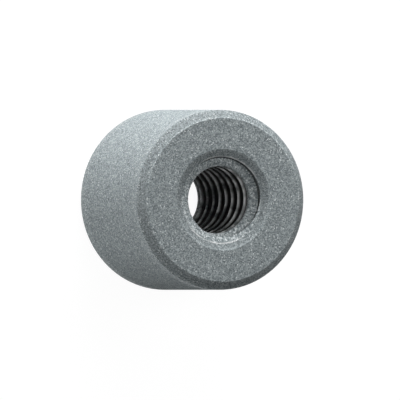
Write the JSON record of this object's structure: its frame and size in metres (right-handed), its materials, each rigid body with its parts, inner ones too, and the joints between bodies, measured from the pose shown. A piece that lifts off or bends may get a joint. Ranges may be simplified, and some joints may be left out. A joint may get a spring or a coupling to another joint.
{
  "type": "lead screw nut",
  "caption": "Plain round steel nut with a right-hand trapezoidal thread through it and countersunk mouths, for turning a lead screw's rotation into travel.",
  "frame": {"origin": "centre of the rear face, on the axis of the thread, where the nut stands on its end", "axes": "+Z along the thread's axis from the rear face to the front face; X and Y are across the nut"},
  "size_m": [0.022, 0.022, 0.02],
  "materials": {
    "steel": "dull grey crystalline phosphate coat with fine sparkle, darker inside the thread"
  },
  "bodies": {
    "root": {"nut": "steel"}
  },
  "joints": []
}
